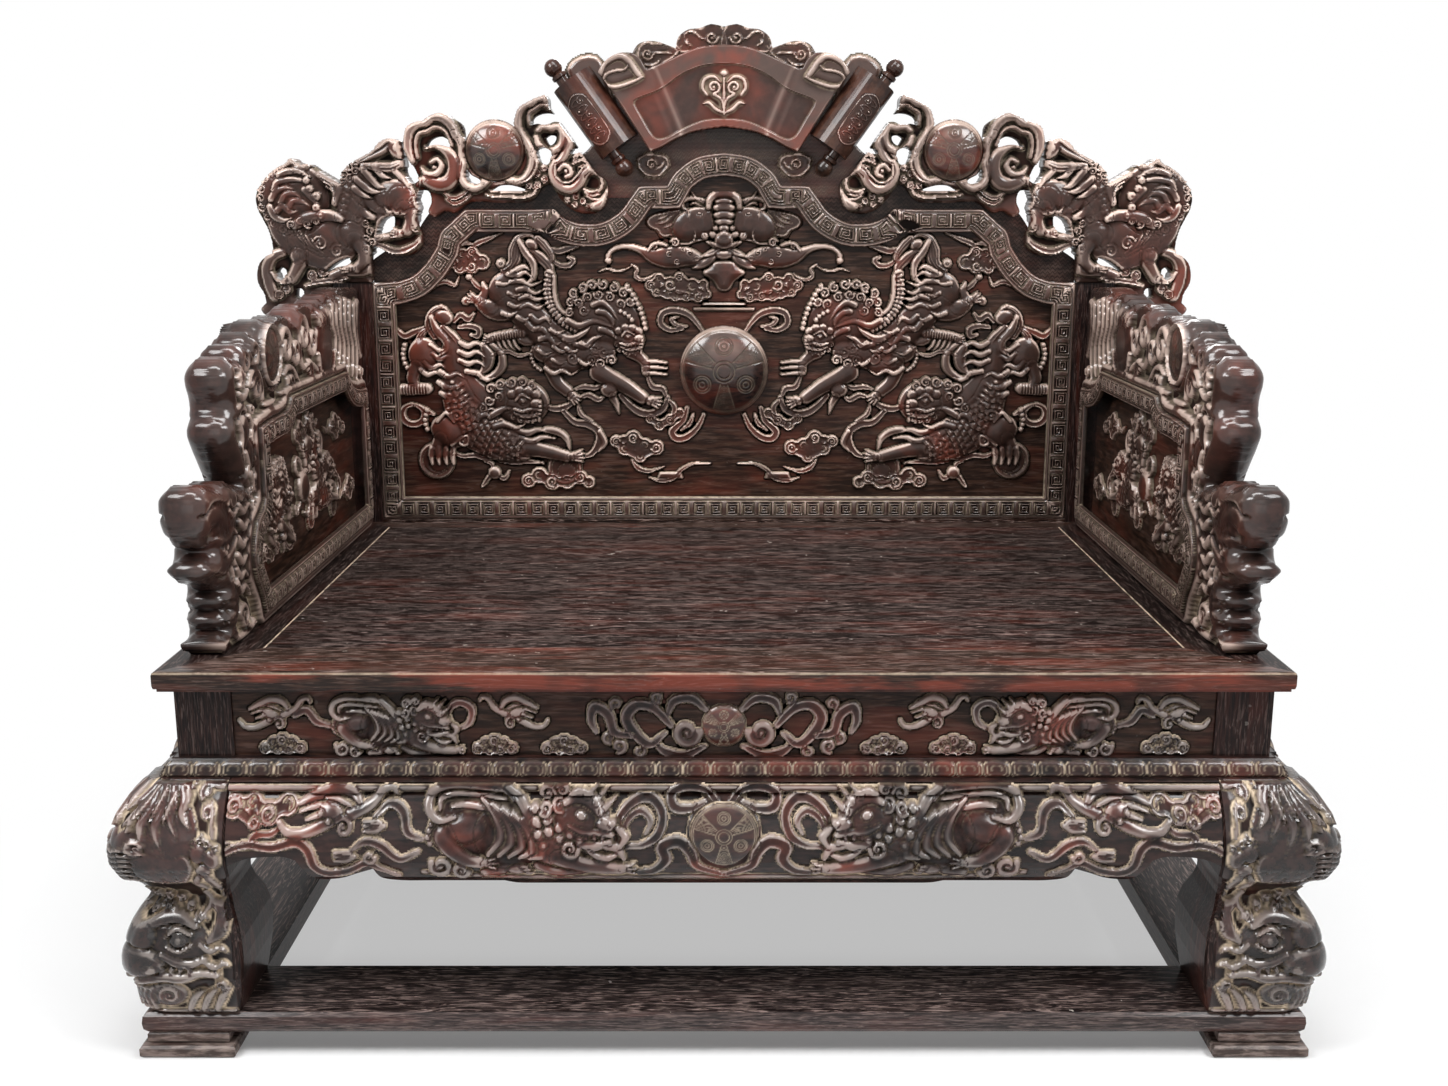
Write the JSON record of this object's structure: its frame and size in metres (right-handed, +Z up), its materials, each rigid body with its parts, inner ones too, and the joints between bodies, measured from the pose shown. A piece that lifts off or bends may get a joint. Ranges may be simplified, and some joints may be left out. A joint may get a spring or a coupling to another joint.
{
  "type": "carved wooden throne",
  "caption": "Wide carved hardwood throne: waisted platform on cabriole legs and a floor frame, with a pierced crest, relief back screen and relief arm screens.",
  "frame": {"origin": "middle of the footprint, on the floor", "axes": "+X across the seat to the viewer's right, +Y from the sitter's feet to the back screen, +Z up"},
  "size_m": [1.5034, 0.996, 1.255],
  "materials": {
    "frame_wood": "dark polished hardwood",
    "panel_wood": "dark waxed hardwood with reddish grain",
    "carved_wood": "dark polished carved hardwood, worn on the high places",
    "inner_wood": "plain unpolished hardwood"
  },
  "bodies": {
    "root": {"foot_front_left": "frame_wood", "foot_front_right": "frame_wood", "foot_back_left": "frame_wood", "foot_back_right": "frame_wood", "floor_rail_front": "frame_wood", "floor_rail_back": "frame_wood", "floor_rail_left": "frame_wood", "floor_rail_right": "frame_wood", "leg_front_left": "carved_wood", "leg_front_right": "carved_wood", "leg_back_left": "carved_wood", "leg_back_right": "carved_wood", "apron_front": "carved_wood", "apron_back": "carved_wood", "apron_left": "carved_wood", "apron_right": "carved_wood", "petal_moulding_front": "frame_wood", "petal_moulding_back": "frame_wood", "petal_moulding_left": "frame_wood", "petal_moulding_right": "frame_wood", "waist_panel_front": "panel_wood", "waist_panel_back": "panel_wood", "waist_panel_left": "panel_wood", "waist_panel_right": "panel_wood", "seat_rail_front": "frame_wood", "seat_rail_back": "frame_wood", "seat_rail_left": "frame_wood", "seat_rail_right": "frame_wood", "seat_panel": "panel_wood", "seat_battens": "inner_wood", "back_post_left": "frame_wood", "back_post_right": "frame_wood", "back_bottom_rail": "frame_wood", "back_panel": "panel_wood", "back_fret_bottom": "frame_wood", "back_fret_left": "frame_wood", "back_fret_right": "frame_wood", "back_fret_top": "frame_wood", "back_boss": "carved_wood", "crest_board": "carved_wood", "crest_scroll": "carved_wood", "scroll_roller_left": "carved_wood", "scroll_roller_right": "carved_wood", "crest_cloud_left": "carved_wood", "crest_cloud_right": "carved_wood", "crest_boss_left": "carved_wood", "crest_boss_right": "carved_wood", "crest_lion_left": "carved_wood", "crest_lion_right": "carved_wood", "arm_board_left": "carved_wood", "arm_board_right": "carved_wood", "arm_panel_left": "panel_wood", "arm_panel_right": "panel_wood", "arm_fret_left": "frame_wood", "arm_fret_right": "frame_wood", "arm_boss_left": "carved_wood", "arm_boss_right": "carved_wood", "dovetail_keys": "inner_wood"}
  },
  "joints": []
}
